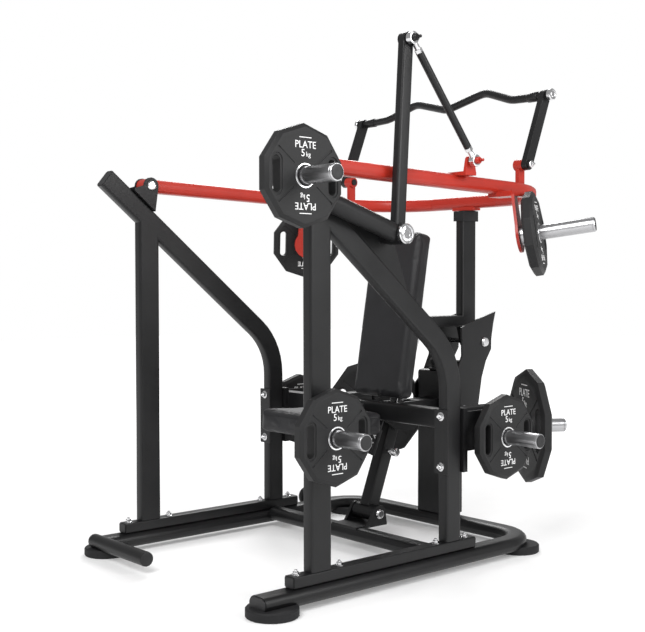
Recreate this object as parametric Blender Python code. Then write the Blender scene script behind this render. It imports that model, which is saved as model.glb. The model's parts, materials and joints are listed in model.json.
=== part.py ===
"""Plate-loaded lever chest press: bolted steel frame, seat, hinged red press arm and counter crank.

Frame: origin on the floor under the middle of the whole machine, +X to the user's left,
+Y to the rear of the machine, +Z up, metres. Every sub-part is its own object.
"""
import math

import bmesh
import bpy
from mathutils import Matrix, Vector

GAP = 0.0003                      # clearance between touching parts

# ---- driving dimensions -------------------------------------------------------------
SIDE = 0.476                      # side frames stand at x = +SIDE and -SIDE
TUBE_W, TUBE_D = 0.0425, 0.0825   # post tube, across and along the machine
RAIL_W, RAIL_H, RAIL_Z = 0.080, 0.050, 0.040
RAIL_FRONT, RAIL_REAR = -0.225, 1.020
RAIL_BEND = 0.140
RAIL_TOP = RAIL_Z + RAIL_H / 2
STEP_R, STEP_Y, STEP_Z = 0.025, -0.210, 0.050  # round bar across the right rail's front end
CROSS_TUBE_Y, CROSS_TUBE_Z = 0.562, 0.052
FOOT_R, FOOT_H = 0.080, 0.028
BEAM_W, BEAM_H = 0.046, 0.037     # side beam that carries the posts
BEAM_Z0 = RAIL_TOP + GAP
BEAM_Z1 = BEAM_Z0 + BEAM_H
BEAM_FRONT, BEAM_REAR = -0.108, 0.690
REAR_POST_Y = 0.583
SLANT_Y, SLANT_Z = 0.316, 0.937   # a point on the slanted tube's centre line
SLANT_DROP = 0.82                 # fall per metre towards the rear
SLANT_D = 0.072
SLANT_FRONT = -0.170
SLANT_BEND = 0.240

ARM_Y, ARM_Z = 0.0, 1.317         # press arm pivot
ARM_T = 0.050
ARM_REAR, ARM_BEND = 1.195, 0.300
ARM_FALL = 0.026                  # fall per metre of the resting arm towards the rear
ARM_JOIN = SIDE - ARM_BEND - 0.010  # the side tubes meet the cross tube here
TAB_Y, TAB_Z = 0.612, 1.366       # lower rod eye on the press arm
ROD_X, TAB_X = 0.557, 0.530
CRANK_X = 0.530
CRANK_Y, CRANK_Z = 0.283, 1.117   # counter crank pivot
CRANK_HORN = (-0.180, 1.262)      # y, z of the crank's weight horn
LEVER_TOP = (0.320, 1.724)        # y, z of the upper rod eye
BAR_Y, BAR_Z = 0.980, 1.385       # swing of the handle bar
LINK_X = 0.468                    # inner faces of the handle bar's links
BAR_TOP = (1.080, 1.640)          # y, z of the handle bar's ends

STRUT_Y, STRUT_Z = 0.652, 0.115   # lower pivot of the back strut
STRUT_DIR = Vector((0.0, 0.357, 0.934)).normalized()
STRUT_LEN = 0.725
TILT_Y, TILT_Z = 1.205, 0.730     # backrest pivot
PAD_X = 0.130
PAD_FOOT = (0.695, 0.534)         # y, z of the pad's lower front edge
PAD_LEN, PAD_T, PAD_LEAN = 0.640, 0.060, math.radians(9.8)
POST_Y, POST_TOP = 1.195, 1.245
SEAT_X, SEAT_Y0, SEAT_Y1 = 0.145, 0.250, 0.605
SEAT_TOP, SEAT_T, SEAT_TILT = 0.514, 0.072, math.radians(3.0)
COLUMN_W, COLUMN_D, COLUMN_Y, COLUMN_TOP = 0.165, 0.100, 1.045, 0.625
CROSS_Y, CROSS_D, CROSS_Z0, CROSS_Z1 = 0.6605, 0.050, 0.463, 0.530
BOLT_Z = (0.3535, 0.5217)

SLEEVE_R = 0.025                  # weight horns take plates with a 50 mm hole
PLATE_R, PLATE_T = 0.145, 0.040
LARGE_R, LARGE_T = 0.210, 0.040
BORE_R = 0.0256
HORN_TURN, HORN_RISE = math.radians(30.0), math.radians(8.0)
ARM_HORN = (0.566, 0.842, 1.126)
HANG = 0.142                      # height of the horn's bracket above its horn
LARGE_TURN = math.radians(58.0)
LARGE_BASE = (0.345, 0.985, 0.437)
STORE_ARM_X = 0.330               # arms that carry the large storage horns
SMALL_STORE = (0.775, 0.441)      # y, z of the small rear storage horns
FRONT_STORE = (-0.010, 0.512)     # y, z of the front storage horn

ORIGIN_Y = 0.47705                # middle of the finished machine, measured from the front posts

# ---- materials ----------------------------------------------------------------------
PALETTE = {
    "frame": ((0.012, 0.012, 0.013), 0.42, 0.0),
    "red": ((0.42, 0.035, 0.022), 0.32, 0.0),
    "chrome": ((0.72, 0.72, 0.73), 0.18, 1.0),
    "rubber": ((0.014, 0.014, 0.015), 0.72, 0.0),
    "pad": ((0.018, 0.018, 0.020), 0.55, 0.0),
}


def material(slot):
    found = bpy.data.materials.get(slot)
    if found:
        return found
    color, rough, metal = PALETTE[slot]
    made = bpy.data.materials.new(slot)
    made.use_nodes = True
    shader = made.node_tree.nodes["Principled BSDF"]
    shader.inputs["Base Color"].default_value = (*color, 1.0)
    shader.inputs["Roughness"].default_value = rough
    shader.inputs["Metallic"].default_value = metal
    return made


# ---- mesh tools ---------------------------------------------------------------------
def keep(name, solids, slot, smooth=False, parent=None):
    """One object from a list of closed bmeshes; only a cutter or a weld holds more than one."""
    mesh = bpy.data.meshes.new(name)
    whole = bmesh.new()
    for solid in solids:
        bmesh.ops.recalc_face_normals(solid, faces=solid.faces)
        part = bpy.data.meshes.new("part")
        solid.to_mesh(part)
        solid.free()
        whole.from_mesh(part)
        bpy.data.meshes.remove(part)
    whole.to_mesh(mesh)
    whole.free()
    mesh.materials.append(material(slot))
    if smooth:
        mesh.shade_smooth()
        mesh.set_sharp_from_angle(angle=math.radians(40))
    obj = bpy.data.objects.new(name, mesh)
    bpy.context.scene.collection.objects.link(obj)
    if parent:
        attach(obj, parent)
    return obj


def attach(obj, pivot):
    """Parent an object to a pivot empty and keep its place in the world."""
    obj.parent = pivot
    obj.matrix_parent_inverse = pivot.matrix_world.inverted()


def pivot_empty(name, at):
    empty = bpy.data.objects.new(name, None)
    empty.matrix_world = Matrix.Translation(at)
    empty.empty_display_size = 0.05
    bpy.context.scene.collection.objects.link(empty)
    bpy.context.view_layer.update()
    return empty


def boolean(target, solids, operation="DIFFERENCE"):
    """Cut from, or weld to, an object with helper solids that stay out of the model."""
    helper = keep(target.name + "_tool", solids, "frame")
    helper.hide_render = True
    helper.hide_viewport = True
    helper.display_type = "WIRE"
    step = target.modifiers.new("bool", "BOOLEAN")
    step.operation = operation
    step.solver = "EXACT"
    step.object = helper
    return target


def rounded_section(width, height, radius, steps):
    """Closed outline of a rounded rectangle, anticlockwise."""
    points = []
    corners = ((1, 1, 0), (-1, 1, 90), (-1, -1, 180), (1, -1, 270))
    for sx, sy, start in corners:
        for k in range(steps + 1):
            angle = math.radians(start + 90.0 * k / steps)
            points.append((sx * (width / 2 - radius) + radius * math.cos(angle),
                           sy * (height / 2 - radius) + radius * math.sin(angle)))
    return points


def round_section(radius, steps):
    turns = [2 * math.pi * k / steps for k in range(steps)]
    return [(radius * math.cos(t), radius * math.sin(t)) for t in turns]


def sweep(path, section, side):
    """Solid along a flat path: section x runs along side, section y across it."""
    side = Vector(side).normalized()
    points = [Vector(p) for p in path]
    bm = bmesh.new()
    rings = []
    for i, point in enumerate(points):
        before = (point - points[i - 1]).normalized() if i else None
        after = (points[i + 1] - point).normalized() if i < len(points) - 1 else None
        before = before or after
        after = after or before
        along = (before + after).normalized()
        across = along.cross(side).normalized()
        stretch = 1.0 / max(0.2, along.dot(after))
        rings.append([bm.verts.new(point + side * u + across * (v * stretch)) for u, v in section])
    count = len(section)
    for one, two in zip(rings, rings[1:]):
        for k in range(count):
            bm.faces.new((one[k], one[(k + 1) % count], two[(k + 1) % count], two[k]))
    bm.faces.new(rings[0])
    bm.faces.new(list(reversed(rings[-1])))
    return bm


def tube(start, end, width, height, radius, side, steps=2):
    return sweep((start, end), rounded_section(width, height, radius, steps), side)


def rod(start, end, radius, steps=16):
    along = Vector(end) - Vector(start)
    side = along.orthogonal() if abs(along.normalized().x) < 0.9 else Vector((0, 1, 0))
    return sweep((start, end), round_section(radius, steps), side)


def lathe(start, direction, profile, steps=16):
    """Turned solid; profile holds (distance along the axis, radius) pairs."""
    axis = Vector(direction).normalized()
    first = axis.orthogonal().normalized()
    second = axis.cross(first)
    bm = bmesh.new()
    rings = []
    for along, radius in profile:
        centre = Vector(start) + axis * along
        ring = []
        for k in range(steps):
            turn = 2 * math.pi * k / steps
            ring.append(bm.verts.new(centre + (first * math.cos(turn) + second * math.sin(turn)) * radius))
        rings.append(ring)
    for one, two in zip(rings, rings[1:]):
        for k in range(steps):
            bm.faces.new((one[k], one[(k + 1) % steps], two[(k + 1) % steps], two[k]))
    bm.faces.new(rings[0])
    bm.faces.new(list(reversed(rings[-1])))
    return bm


def slab(outline, x0, x1):
    """Plate parallel to the side frames: outline holds (y, z) pairs."""
    bm = bmesh.new()
    near = [bm.verts.new((x0, y, z)) for y, z in outline]
    far = [bm.verts.new((x1, y, z)) for y, z in outline]
    count = len(outline)
    for k in range(count):
        bm.faces.new((near[k], near[(k + 1) % count], far[(k + 1) % count], far[k]))
    bm.faces.new(near)
    bm.faces.new(list(reversed(far)))
    return bm


def block(x0, x1, y0, y1, z0, z1):
    return slab(((y0, z0), (y1, z0), (y1, z1), (y0, z1)), x0, x1)


def arc(cx, cy, radius, start, end, steps):
    turns = [math.radians(start + (end - start) * k / steps) for k in range(steps + 1)]
    return [(cx + radius * math.cos(t), cy + radius * math.sin(t)) for t in turns]


def bend(corner, before, after, radius, steps):
    """Points of a round bend at a corner between two straight runs."""
    corner = Vector(corner)
    back = (Vector(before) - corner).normalized()
    ahead = (Vector(after) - corner).normalized()
    half = back.angle(ahead) / 2
    reach = radius / math.tan(half)
    centre = corner + (back + ahead).normalized() * (radius / math.sin(half))
    start = corner + back * reach - centre
    sweep_angle = math.pi - 2 * half
    normal = start.cross(corner + ahead * reach - centre).normalized()
    turns = [sweep_angle * k / steps for k in range(steps + 1)]
    return [centre + Matrix.Rotation(t, 3, normal) @ start for t in turns]


def slant_z(y):
    return SLANT_Z - SLANT_DROP * (y - SLANT_Y)


# ---- base ---------------------------------------------------------------------------
def rail_section(grow=0.0):
    height = RAIL_H + 2 * grow
    return rounded_section(RAIL_W + 2 * grow, height, height / 2 - 0.001, 4)


def base_path():
    """Centre line of the bent base tube, from the left front end round to the right one."""
    left = Vector((SIDE, RAIL_REAR, RAIL_Z))
    right = Vector((-SIDE, RAIL_REAR, RAIL_Z))
    start = Vector((SIDE, RAIL_FRONT, RAIL_Z))
    end = Vector((-SIDE, STEP_Y + STEP_R + GAP, RAIL_Z))
    turns = bend(left, start, right, RAIL_BEND, 6) + bend(right, left, end, RAIL_BEND, 6)
    return [start] + turns + [end]


def base_tube(grow=0.0):
    height = RAIL_H + 2 * grow
    section = rounded_section(height, RAIL_W + 2 * grow, height / 2 - 0.001, 4)
    return sweep(base_path(), section, (0, 0, 1))


def foot_bar(grow=0.0):
    return rod((-SIDE - 0.022 - grow, STEP_Y, STEP_Z), (-0.150 + grow, STEP_Y, STEP_Z), STEP_R + grow)


def build_base():
    keep("base_frame", [base_tube()], "frame", True)
    keep("front_foot_bar", [foot_bar()], "frame", True)
    inner = SIDE - RAIL_W / 2 - GAP
    path = ((-inner, CROSS_TUBE_Y, CROSS_TUBE_Z), (inner, CROSS_TUBE_Y, CROSS_TUBE_Z))
    cross = keep("base_cross_tube", [tube(*path, RAIL_H, 0.070, 0.022, (0, 0, 1), 3)], "frame", True)
    top = CROSS_TUBE_Z + RAIL_H / 2
    saddle = block(-0.066, 0.066, 0.535, 0.690, top - 0.006, top + 0.004)
    boolean(cross, [saddle], "UNION")
    nose = arc(STRUT_Y, STRUT_Z, 0.032, 170, 10, 6)
    outline = list(nose) + [(0.690, top - 0.001), (0.590, top - 0.001)]
    boolean(cross, [slab(outline, way * 0.0540, way * 0.0660) for way in (1, -1)], "UNION")
    boolean(cross, [rod((-0.07, STRUT_Y, STRUT_Z), (0.07, STRUT_Y, STRUT_Z), 0.0100 + GAP)])


def build_feet():
    places = {"front_left": (0.481, -0.177), "front_right": (-0.479, -0.170),
              "rear_left": (0.450, 0.968), "rear_right": (-0.450, 0.968)}
    shape = ((0.0, FOOT_R - 0.003), (0.003, FOOT_R), (FOOT_H - 0.004, FOOT_R), (FOOT_H, FOOT_R - 0.004))
    for name, (x, y) in places.items():
        foot = keep("foot_" + name, [lathe((x, y, 0.0), (0, 0, 1), shape, 24)], "rubber", True)
        boolean(foot, [base_tube(GAP)])
        if name == "front_right":
            boolean(foot, [foot_bar(GAP)])


# ---- side frames --------------------------------------------------------------------
def slanted_path(sign):
    x = sign * SIDE
    top = Vector((x, SLANT_FRONT, slant_z(SLANT_FRONT)))
    corner = Vector((x, REAR_POST_Y, slant_z(REAR_POST_Y)))
    foot = Vector((x, REAR_POST_Y, BEAM_Z1 + GAP))
    return [top] + bend(corner, top, foot, SLANT_BEND, 7) + [foot]


def slanted_post(sign, grow=0.0):
    section = rounded_section(TUBE_W + 2 * grow, SLANT_D + 2 * grow, 0.010, 2)
    return sweep(slanted_path(sign), section, (1, 0, 0))


def front_post(sign):
    x = sign * SIDE
    return tube((x, 0, BEAM_Z1 + GAP), (x, 0, slant_z(0)), TUBE_W, TUBE_D, 0.010, (1, 0, 0))


def build_side(sign, name):
    x = sign * SIDE
    middle = (BEAM_Z0 + BEAM_Z1) / 2
    beam = tube((x, BEAM_FRONT, middle), (x, BEAM_REAR, middle), BEAM_W, BEAM_H, 0.006, (1, 0, 0))
    keep("side_beam_" + name, [beam], "frame", True)
    post = keep("front_post_" + name, [front_post(sign)], "frame", True)
    boolean(post, [slanted_post(sign, GAP)])
    keep("slanted_post_" + name, [slanted_post(sign)], "frame", True)


def clevis_outline(y0, y1, drop):
    """Strip that lies on the upper face of the slanted post between y0 and y1."""
    rise = SLANT_D / 2 * math.hypot(1, SLANT_DROP)
    return [(y1, slant_z(y1) + rise - 0.003), (y1, slant_z(y1) + rise + drop),
            (y0, slant_z(y0) + rise + drop), (y0, slant_z(y0) + rise - 0.003)]


def build_clevises():
    """Fork welded on top of each slanted post, and the pins that the press arm turns on."""
    inner, outer = ARM_T / 2 + 0.0015, ARM_T / 2 + 0.0095
    for sign, name in ((1, "left"), (-1, "right")):
        post = bpy.data.objects["slanted_post_" + name]
        x = sign * SIDE
        boolean(post, [slab(clevis_outline(-0.070, 0.018, 0.008), x - outer, x + outer)], "UNION")
        foot = clevis_outline(-0.070, 0.018, 0.004)
        cheek = arc(ARM_Y, ARM_Z, 0.030, 180, 0, 8) + [foot[1], foot[2]]
        cheeks = [slab(cheek, x + way * inner, x + way * outer) for way in (1, -1)]
        boolean(post, cheeks, "UNION")
        boolean(post, [rod((x - 0.05, ARM_Y, ARM_Z), (x + 0.05, ARM_Y, ARM_Z), 0.0100 + GAP)])
        pin = headed_pin((x - outer, ARM_Y, ARM_Z), 1, 2 * outer, 0.010, 0.018, 0.009)
        keep("arm_pin_" + name, [pin], "chrome", True)


def headed_pin(start, way, length, radius, head_r, head_t):
    """Pin along x with a stepped head at each end."""
    profile = ((-head_t, head_r * 0.78), (-head_t * 0.35, head_r), (-GAP, head_r), (-GAP, radius),
               (length + GAP, radius), (length + GAP, head_r), (length + head_t * 0.35, head_r),
               (length + head_t, head_r * 0.78))
    return lathe(start, (way, 0, 0), profile)


def build_pins():
    keep("strut_pin", [headed_pin((-0.066, STRUT_Y, STRUT_Z), 1, 0.132, 0.010, 0.019, 0.009)],
         "chrome", True)
    gusset = COLUMN_W / 2 + GAP + 0.008
    keep("backrest_pin", [headed_pin((-gusset, TILT_Y, TILT_Z), 1, 2 * gusset, 0.010, 0.020, 0.010)],
         "chrome", True)
    crank = ((0.0, 0.020), (0.008, 0.020), (0.008, 0.0125), (0.1225, 0.0125), (0.1225, 0.031),
             (0.130, 0.031), (0.134, 0.024), (0.136, 0.012))
    keep("crank_pin", [lathe((0.4390, CRANK_Y, CRANK_Z), (1, 0, 0), crank, 20)], "chrome", True)


# ---- rear structure and storage -----------------------------------------------------
def build_cross_beam():
    """Cross beam with its rear mounting plates and the carriers of the small storage horns."""
    side_x = SIDE + 0.0195
    z = (CROSS_Z0 + CROSS_Z1) / 2
    path = ((-side_x - 0.006, CROSS_Y, z), (side_x + 0.006, CROSS_Y, z))
    beam = keep("cross_beam", [tube(*path, CROSS_Z1 - CROSS_Z0, CROSS_D, 0.010, (0, 0, 1))], "frame", True)
    rear = REAR_POST_Y + SLANT_D / 2 + GAP
    for sign in (1, -1):
        x0, x1 = sign * SIDE - 0.030, sign * SIDE + 0.030
        boolean(beam, [block(x0, x1, rear, CROSS_Y - CROSS_D / 2 + 0.004, 0.330, 0.545)], "UNION")
        carrier = ((0.640, 0.400), (0.810, 0.400), (0.822, 0.412), (0.822, 0.485), (0.790, 0.533),
                   (0.640, 0.533))
        boolean(beam, [slab(carrier, sign * side_x, sign * (side_x + 0.010))], "UNION")
    front = REAR_POST_Y - SLANT_D / 2 - GAP
    for sign, name in ((1, "left"), (-1, "right")):
        x0, x1 = sign * SIDE - 0.030, sign * SIDE + 0.030
        keep("clamp_plate_" + name, [block(x0, x1, front - 0.006, front, 0.330, 0.545)], "frame")
    build_spine()


def build_spine():
    """Forked bracket from the cross beam to the column; the strut passes between its sides."""
    start, end = CROSS_Y + CROSS_D / 2 + GAP, COLUMN_Y - COLUMN_D / 2 - GAP
    outline = ((start, 0.467), (0.760, 0.415), (0.860, 0.405), (0.920, 0.455), (end, 0.455),
               (end, 0.515), (start, 0.515))
    spine = keep("spine_bracket", [slab(outline, 0.0290, 0.0410)], "frame")
    boolean(spine, [slab(outline, -0.0290, -0.0410)], "UNION")
    boolean(spine, [block(-0.0350, 0.0350, 0.900, end - 0.001, 0.457, 0.513)], "UNION")


def build_column():
    section = rounded_section(COLUMN_W, COLUMN_D, 0.018, 3)
    bm = sweep(((0, COLUMN_Y, RAIL_TOP + GAP), (0, COLUMN_Y, COLUMN_TOP)), section, (1, 0, 0))
    top = [e for e in bm.edges if all(v.co.z > COLUMN_TOP - 0.001 for v in e.verts)]
    bmesh.ops.bevel(bm, geom=top, offset=0.014, segments=3, profile=0.5, affect="EDGES")
    keep("rear_column", [bm], "frame", True)
    outline = ((0.990, 0.440), (0.990, 0.565), (1.040, 0.610), (1.075, 0.680), (1.072, 0.790),
               (1.110, 0.806), (1.272, 0.850), (1.258, 0.800), (1.247, 0.740), (1.246, 0.700),
               (1.215, 0.655), (1.190, 0.590), (1.168, 0.470), (1.150, 0.440))
    start = COLUMN_W / 2 + GAP
    gussets = keep("rear_gussets", [slab(outline, start, start + 0.008)], "frame")
    boolean(gussets, [slab(outline, -start, -start - 0.008)], "UNION")
    boolean(gussets, [block(-start - 0.004, start + 0.004, 1.1650, 1.2100, 0.6300, 0.6500)], "UNION")
    boolean(gussets, [rod((-0.12, TILT_Y, TILT_Z), (0.12, TILT_Y, TILT_Z), 0.0100 + GAP)])
    stud = ((0.0, 0.026), (0.006, 0.026), (0.010, 0.018), (0.022, 0.018), (0.026, 0.024),
            (0.038, 0.024), (0.046, 0.016))
    cushion = lathe((0.0, 1.020, COLUMN_TOP + GAP), (0, 0, 1), stud)
    keep("column_bumper", [cushion], "rubber", True)


def horn_profile(length, collar_r, collar_t, chamfer=0.004):
    return ((0.0, collar_r), (collar_t, collar_r), (collar_t, SLEEVE_R), (length - chamfer, SLEEVE_R),
            (length, SLEEVE_R - chamfer))


def large_direction(sign):
    return Vector((sign * math.cos(LARGE_TURN), math.sin(LARGE_TURN), 0))


def arm_horn_direction(sign):
    flat = math.cos(HORN_RISE)
    return Vector((sign * flat * math.cos(HORN_TURN), flat * math.sin(HORN_TURN), math.sin(HORN_RISE)))


def build_storage():
    arm_y0 = CROSS_Y + CROSS_D / 2 + GAP
    for sign, name in ((1, "left"), (-1, "right")):
        out = large_direction(sign)
        face = Vector((sign * LARGE_BASE[0], LARGE_BASE[1], LARGE_BASE[2])) - out * 0.004
        x = sign * STORE_ARM_X
        run = tube((x, arm_y0, 0.4960), (x, 0.965, 0.4960), 0.050, 0.050, 0.008, (1, 0, 0))
        arm = keep("storage_arm_" + name, [run], "frame")
        side = out.cross(Vector((0, 0, 1)))
        pad = sweep((face - out * 0.014, face), rounded_section(0.090, 0.170, 0.012, 2), side)
        boolean(arm, [pad], "UNION")
        boolean(arm, [sweep((face + out * 0.0001, face + out * 0.2), rounded_section(0.4, 0.4, 0.01, 1), side)])
        horn = lathe(face + out * GAP, out, horn_profile(0.262, 0.034, 0.098))
        keep("large_horn_" + name, [horn], "chrome", True)
        base = (sign * (SIDE + 0.0195 + 0.010 + GAP), *SMALL_STORE)
        horn = lathe(base, (sign, 0, 0), horn_profile(0.200, 0.034, 0.0212))
        keep("small_horn_" + name, [horn], "chrome", True)
    front_base = (SIDE + TUBE_W / 2 + GAP, *FRONT_STORE)
    front = lathe(front_base, (1, 0, 0), horn_profile(0.205, 0.034, 0.0412))
    keep("front_horn", [front], "chrome", True)


# ---- seat ---------------------------------------------------------------------------
def seat_point(y, drop):
    """Point on the seat's tilted middle plane at a given depth below its top."""
    z = SEAT_TOP - (y - SEAT_Y0) * math.sin(SEAT_TILT) - drop
    return (0.0, y, z)


def build_seat():
    path = (seat_point(SEAT_Y0, SEAT_T / 2), seat_point(SEAT_Y1, SEAT_T / 2))
    pad = sweep(path, rounded_section(2 * SEAT_X, SEAT_T, 0.016, 3), (1, 0, 0))
    ends = [e for e in pad.edges if abs(e.verts[0].co.y - e.verts[1].co.y) < 0.004]
    rims = [e for e in ends if len(e.link_faces) == 2 and any(len(f.verts) > 4 for f in e.link_faces)]
    bmesh.ops.bevel(pad, geom=rims, offset=0.012, segments=2, profile=0.5, affect="EDGES")
    keep("seat_pad", [pad], "pad", True)
    low = SEAT_T + GAP
    plate = sweep((seat_point(0.300, low + 0.004), seat_point(0.560, low + 0.004)),
                  rounded_section(0.200, 0.008, 0.003, 1), (1, 0, 0))
    bracket = keep("seat_bracket", [plate], "frame", True)
    run = tube((0, 0.330, 0.400), (0, 0.612, 0.400), 0.050, 0.056, 0.008, (1, 0, 0))
    rise = tube((0, 0.590, 0.372), (0, 0.590, 0.520), 0.050, 0.056, 0.008, (1, 0, 0))
    boolean(bracket, [run], "UNION")
    boolean(bracket, [rise], "UNION")
    boolean(bracket, [sweep((seat_point(0.15, SEAT_T / 2), seat_point(SEAT_Y1 + GAP, SEAT_T / 2)),
                            rounded_section(2 * SEAT_X + 0.02, SEAT_T + 2 * GAP, 0.002, 1), (1, 0, 0))])


# ---- backrest and its strut ---------------------------------------------------------
def lean(distance, out=0.0):
    """Point on the pad's front face, distance up it and out behind it."""
    up = Vector((0, math.sin(PAD_LEAN), math.cos(PAD_LEAN)))
    back = Vector((0, math.cos(PAD_LEAN), -math.sin(PAD_LEAN)))
    return Vector((0, PAD_FOOT[0], PAD_FOOT[1])) + up * distance + back * out


def build_backrest():
    pivot = pivot_empty("backrest_pivot", (0, TILT_Y, TILT_Z))
    section = rounded_section(2 * PAD_X, PAD_T, 0.014, 3)
    pad = sweep((lean(0, PAD_T / 2), lean(PAD_LEN, PAD_T / 2)), section, (1, 0, 0))
    caps = [f for f in pad.faces if len(f.verts) > 4]
    rims = list({e for f in caps for e in f.edges})
    bmesh.ops.bevel(pad, geom=rims, offset=0.018, segments=3, profile=0.5, affect="EDGES")
    keep("back_pad", [pad], "pad", True, pivot)
    flange = sweep((lean(0.160, PAD_T + GAP + 0.004), lean(0.400, PAD_T + GAP + 0.004)),
                   rounded_section(0.160, 0.008, 0.002, 1), (1, 0, 0))
    frame = keep("backrest_frame", [flange], "frame", True, pivot)
    arm = tube((0, 0.810, 0.8125), (0, POST_Y, 0.8125), 0.040, 0.045, 0.006, (1, 0, 0))
    post = tube((0, POST_Y, 0.791), (0, POST_Y, POST_TOP), 0.040, 0.080, 0.008, (1, 0, 0))
    lug = slab(arc(TILT_Y, TILT_Z, 0.026, 180, 360, 6) + [(1.231, 0.795), (1.160, 0.795)], -0.0195, 0.0195)
    boolean(frame, [arm], "UNION")
    boolean(frame, [post], "UNION")
    boolean(frame, [lug], "UNION")
    boolean(frame, [rod((-0.12, TILT_Y, TILT_Z), (0.12, TILT_Y, TILT_Z), 0.0100 + GAP)])
    crown = POST_TOP + 0.0085 - TILT_Z
    reach = 0.045
    turns = [math.atan2(POST_Y + reach * k - TILT_Y, crown) for k in (1.0, 0.5, 0.0, -0.5, -1.0)]
    top = [(TILT_Y + crown * math.sin(t), TILT_Z + crown * math.cos(t)) for t in turns]
    low = POST_TOP - 0.034
    outline = top + [(POST_Y - reach, low), (POST_Y + reach, low)]
    cap = keep("post_cap", [slab(outline, -0.026, 0.026)], "rubber", False, pivot)
    sock = tube((0, POST_Y, POST_TOP - 0.05), (0, POST_Y, POST_TOP + GAP), 0.0406, 0.0806, 0.0083, (1, 0, 0))
    boolean(cap, [sock])


def strut_point(distance):
    return Vector((0, STRUT_Y, STRUT_Z)) + STRUT_DIR * distance


def build_strut():
    swing = pivot_empty("strut_pivot", (0, STRUT_Y, STRUT_Z))
    outer = keep("strut_outer", [rod((-0.0515, STRUT_Y, STRUT_Z), (0.0515, STRUT_Y, STRUT_Z), 0.030)],
                 "frame", True, swing)
    body = tube(strut_point(0.020), strut_point(0.400), 0.050, 0.056, 0.008, (1, 0, 0))
    boolean(outer, [body], "UNION")
    boolean(outer, [tube(strut_point(0.100), strut_point(0.410), 0.0386, 0.0386, 0.005, (1, 0, 0))])
    boolean(outer, [rod((-0.06, STRUT_Y, STRUT_Z), (0.06, STRUT_Y, STRUT_Z), 0.0100 + GAP)])
    pin_at = strut_point(0.235)
    boolean(outer, [rod((0.015, pin_at.y, pin_at.z), (0.06, pin_at.y, pin_at.z), 0.0073)])
    inner = tube(strut_point(0.120), strut_point(STRUT_LEN - 0.012), 0.038, 0.038, 0.005, (1, 0, 0))
    keep("strut_inner", [inner], "chrome", True, pivot_empty("strut_slide", strut_point(0.4)))
    plunger = ((0.0, 0.007), (0.0045, 0.007), (0.0045, 0.012), (0.022, 0.012), (0.022, 0.007),
               (0.032, 0.007), (0.034, 0.016), (0.050, 0.016), (0.054, 0.012))
    keep("adjuster_pin", [lathe((0.0208, pin_at.y, pin_at.z), (1, 0, 0), plunger)], "chrome", True,
         pivot_empty("pin_slide", (0.0208, pin_at.y, pin_at.z)))


# ---- press arm ----------------------------------------------------------------------
def arm_z(y):
    return ARM_Z - ARM_FALL * y


def arm_run(sign):
    x = sign * SIDE
    front = Vector((x, ARM_Y + 0.012, ARM_Z))
    corner = Vector((x, ARM_REAR, arm_z(ARM_REAR)))
    inward = Vector((0, ARM_REAR, arm_z(ARM_REAR)))
    end = Vector((sign * ARM_JOIN, ARM_REAR, arm_z(ARM_REAR)))
    path = [front] + bend(corner, front, inward, ARM_BEND, 8) + [end]
    return sweep(path, rounded_section(ARM_T, ARM_T, 0.018, 3), (0, 0, 1))


def build_arm():
    pivot = pivot_empty("arm_pivot", (0, ARM_Y, ARM_Z))
    for sign, name in ((1, "left"), (-1, "right")):
        arm = keep("arm_tube_" + name, [arm_run(sign)], "red", True, pivot)
        x = sign * SIDE
        half = ARM_T / 2 + 0.0006
        boolean(arm, [rod((x - half, ARM_Y, ARM_Z), (x + half, ARM_Y, ARM_Z), 0.0270, 20)], "UNION")
        boolean(arm, [rod((x - 0.05, ARM_Y, ARM_Z), (x + 0.05, ARM_Y, ARM_Z), 0.0105)])
        add_knuckle(arm, sign)
        add_horn(arm, sign, name, pivot)
        if sign > 0:
            add_rod_tab(arm)
    reach = ARM_JOIN - GAP
    path = ((-reach, ARM_REAR, arm_z(ARM_REAR)), (reach, ARM_REAR, arm_z(ARM_REAR)))
    cross = keep("arm_cross_tube", [tube(*path, ARM_T, ARM_T, 0.018, (0, 0, 1), 3)], "red", True, pivot)
    low = arm_z(ARM_REAR) - ARM_T / 2
    rest = block(-0.055, 0.055, 1.1740, 1.2190, POST_TOP + 0.0085 + GAP, low + 0.006)
    boolean(cross, [rest], "UNION")


def add_rod_tab(arm):
    """Angle on the left arm with a stub for the lower rod end."""
    top = arm_z(TAB_Y) + ARM_T / 2
    shelf = block(0.462, TAB_X + 0.012, TAB_Y - 0.026, TAB_Y + 0.026, top - 0.006, top + 0.006)
    ear = arc(TAB_Y, TAB_Z, 0.018, 0, 180, 6) + [(TAB_Y - 0.026, top), (TAB_Y + 0.026, top)]
    boolean(arm, [shelf], "UNION")
    boolean(arm, [slab(ear, TAB_X, TAB_X + 0.012)], "UNION")
    reach = ROD_X - 0.0095 - TAB_X - 0.006
    stub = ((0.0, 0.0085), (reach - 0.002, 0.0085), (reach, 0.0075))
    boolean(arm, [lathe((TAB_X + 0.006, TAB_Y, TAB_Z), (1, 0, 0), stub)], "UNION")


def add_knuckle(arm, sign):
    """Short post with a bored barrel that carries a link of the handle bar."""
    low = arm_z(BAR_Y) + ARM_T / 2 - 0.010
    x0, x1 = sign * (LINK_X - 0.028), sign * (LINK_X - 0.012)
    boolean(arm, [block(min(x0, x1), max(x0, x1), BAR_Y - 0.016, BAR_Y + 0.016, low, BAR_Z)], "UNION")
    start = (sign * (LINK_X - 0.036), BAR_Y, BAR_Z)
    boolean(arm, [rod(start, (sign * LINK_X, BAR_Y, BAR_Z), 0.021, 20)], "UNION")
    boolean(arm, [rod((sign * (LINK_X - 0.05), BAR_Y, BAR_Z), (sign * (LINK_X + 0.02), BAR_Y, BAR_Z), 0.0085)])


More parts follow.
